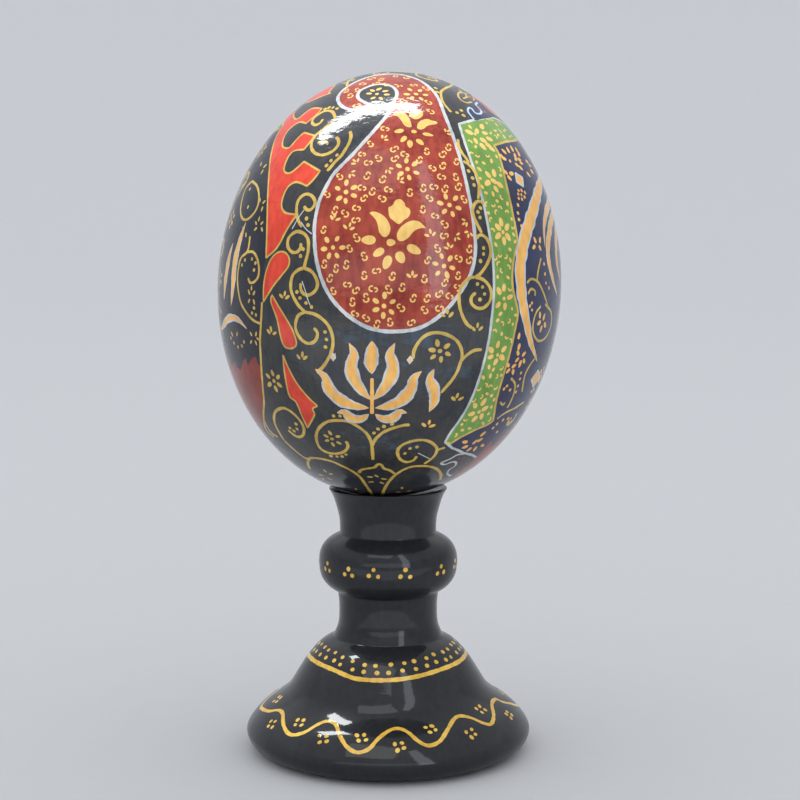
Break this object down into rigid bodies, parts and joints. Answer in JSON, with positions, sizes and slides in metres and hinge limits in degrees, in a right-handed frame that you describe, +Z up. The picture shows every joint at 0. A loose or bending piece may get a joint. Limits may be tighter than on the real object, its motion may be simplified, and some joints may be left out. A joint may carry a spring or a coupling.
{
  "type": "decorated ostrich egg on a stand",
  "caption": "Ostrich egg painted with traditional scrollwork and leaf ornament, standing in a turned, black-lacquered wooden holder with a round foot.",
  "frame": {"origin": "centre of the holder's flat underside, on its turning axis", "axes": "+Z up along the holder's turning axis; the side that the picture shows faces -Y, with +X to its right"},
  "size_m": [0.1251, 0.125, 0.2497],
  "materials": {
    "painted_shell": "hard ostrich eggshell painted black, red, green, blue and gold by hand under a gloss varnish",
    "black_lacquer": "turned wood with glossy black lacquer and painted gold line and dots"
  },
  "bodies": {
    "root": {"egg": "painted_shell", "stand": "black_lacquer"}
  },
  "joints": []
}
